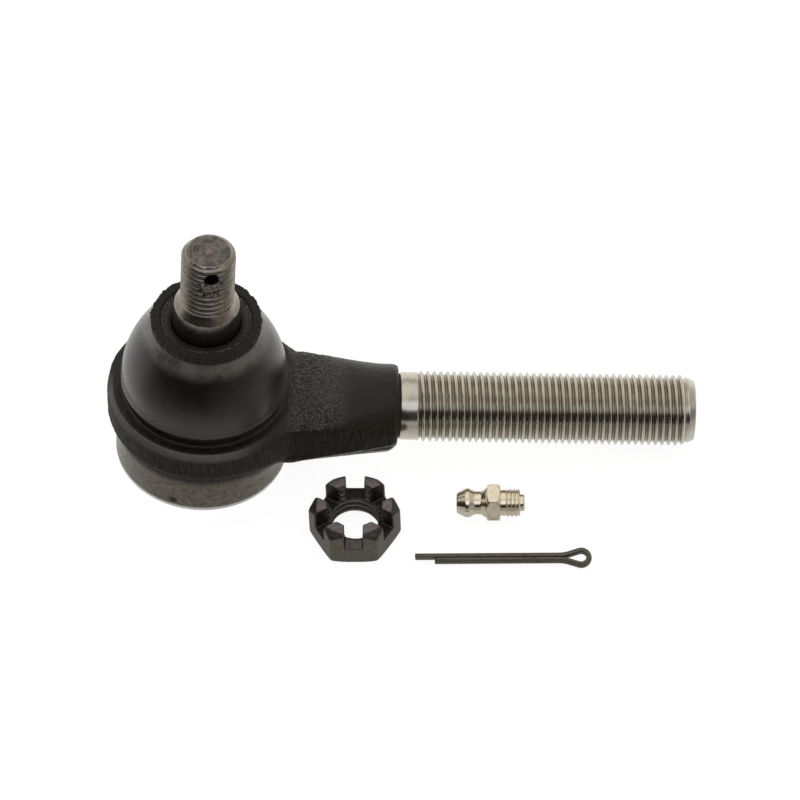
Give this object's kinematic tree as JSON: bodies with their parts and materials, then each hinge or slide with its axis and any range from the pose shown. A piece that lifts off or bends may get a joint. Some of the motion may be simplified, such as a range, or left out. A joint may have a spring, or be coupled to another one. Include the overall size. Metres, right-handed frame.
{
  "type": "tie rod end",
  "caption": "Outer tie rod end: forged socket with a threaded shank, a tapered ball stud that swings and turns under a rubber boot, and its loose castle nut, cotter pin and grease fitting.",
  "frame": {"origin": "centre of the ball, where the stud's axis meets the shank's axis", "axes": "+X along the threaded shank, away from the socket; +Z along the stud, towards its thread; the loose hardware lies on the plane that touches the socket's rim and the shank's tip, which leans 4.4 degrees from the XY plane"},
  "size_m": [0.1324, 0.0607, 0.0658],
  "materials": {
    "black_painted_forging": "satin black paint on a forged skin",
    "machined_steel": "bright machined steel of the threaded shank",
    "stud_steel": "turned and rolled steel, greyed",
    "bearing_polymer": "moulded acetal",
    "spring_steel": "oiled spring steel",
    "cover_steel": "plated pressed steel",
    "boot_rubber": "moulded black rubber, slightly shiny",
    "ring_rubber": "hard black rubber",
    "nut_phosphate": "dark phosphate, oiled",
    "pin_steel": "dull dark steel wire",
    "fitting_plating": "bright nickel plating"
  },
  "bodies": {
    "housing": {"housing": "black_painted_forging", "upper_bearing": "bearing_polymer", "lower_bearing": "bearing_polymer", "preload_disc_spring": "spring_steel", "cover_plate": "cover_steel", "boot_retaining_ring": "spring_steel"},
    "boot": {"dust_boot": "boot_rubber"},
    "boot_collar": {"boot_top_ring": "ring_rubber"},
    "stud": {"ball_stud": "stud_steel"},
    "nut": {"castle_nut": "nut_phosphate"},
    "pin": {"cotter_pin": "pin_steel"},
    "fitting": {"grease_fitting_body": "fitting_plating", "grease_fitting_spring": "spring_steel"},
    "check_ball": {"grease_fitting_ball": "spring_steel"}
  },
  "joints": [
    {"name": "stud_swing_along", "type": "hinge", "parent": "housing", "child": "boot", "pos_m": [0, 0, 0], "axis": [0, 1, 0], "range_deg": [-17, 17], "deforming": ["dust_boot"]},
    {"name": "stud_swing_across", "type": "hinge", "parent": "boot", "child": "boot_collar", "pos_m": [0, 0, 0], "axis": [1, 0, 0], "range_deg": [-17, 17]},
    {"name": "stud_spin", "type": "hinge", "parent": "boot_collar", "child": "stud", "pos_m": [0, 0, 0], "axis": [0, 0, 1], "continuous": true},
    {"name": "nut_lift", "type": "slide", "parent": "housing", "child": "nut", "axis": [-0.0764, 0, 0.9971], "range_m": [0, 0.06]},
    {"name": "pin_lift", "type": "slide", "parent": "housing", "child": "pin", "axis": [-0.0764, 0, 0.9971], "range_m": [0, 0.06]},
    {"name": "fitting_lift", "type": "slide", "parent": "housing", "child": "fitting", "axis": [-0.0764, 0, 0.9971], "range_m": [0, 0.06]},
    {"name": "check_ball_push", "type": "slide", "parent": "fitting", "child": "check_ball", "axis": [0.9961, -0.0436, 0.0763], "range_m": [0, 0.0008], "stiffness_N_per_m": 300, "springref_m": -0.001, "deforming": ["grease_fitting_spring"]}
  ]
}
